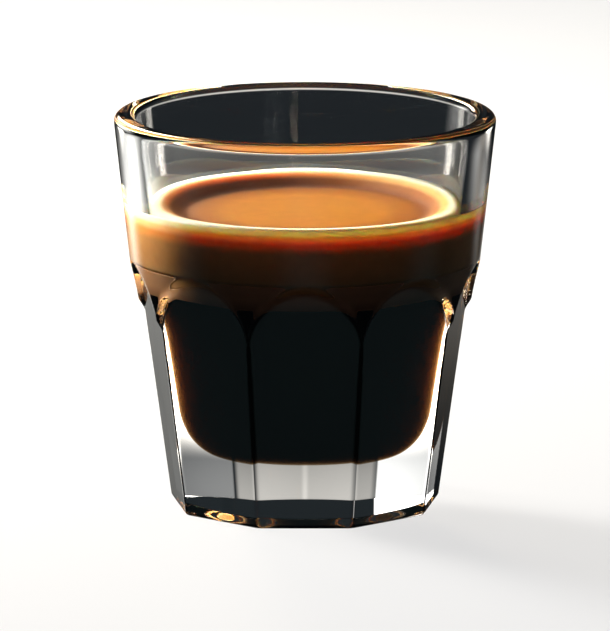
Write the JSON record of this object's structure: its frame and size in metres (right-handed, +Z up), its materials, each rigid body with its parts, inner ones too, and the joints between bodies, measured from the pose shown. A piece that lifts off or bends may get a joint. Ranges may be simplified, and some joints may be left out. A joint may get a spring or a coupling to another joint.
{
  "type": "double espresso in a glass",
  "caption": "Double espresso in a small panelled glass tumbler: black coffee under a brown layer and a thick golden crema, with a plain band and lip above and a heavy clear foot.",
  "frame": {"origin": "centre of the foot, on the surface that the glass stands on", "axes": "+Z up through the middle of the glass; -Y faces one flat panel"},
  "size_m": [0.0678, 0.0678, 0.0705],
  "materials": {
    "clear_glass": "fire-polished clear soda-lime glass",
    "black_coffee": "near-black liquid, amber where it is thin",
    "brown_foam": "wet brown foam",
    "golden_foam": "fine golden foam with a soft sheen"
  },
  "bodies": {
    "root": {"glass": "clear_glass", "coffee": "black_coffee", "settling_layer": "brown_foam", "crema": "golden_foam"}
  },
  "joints": []
}
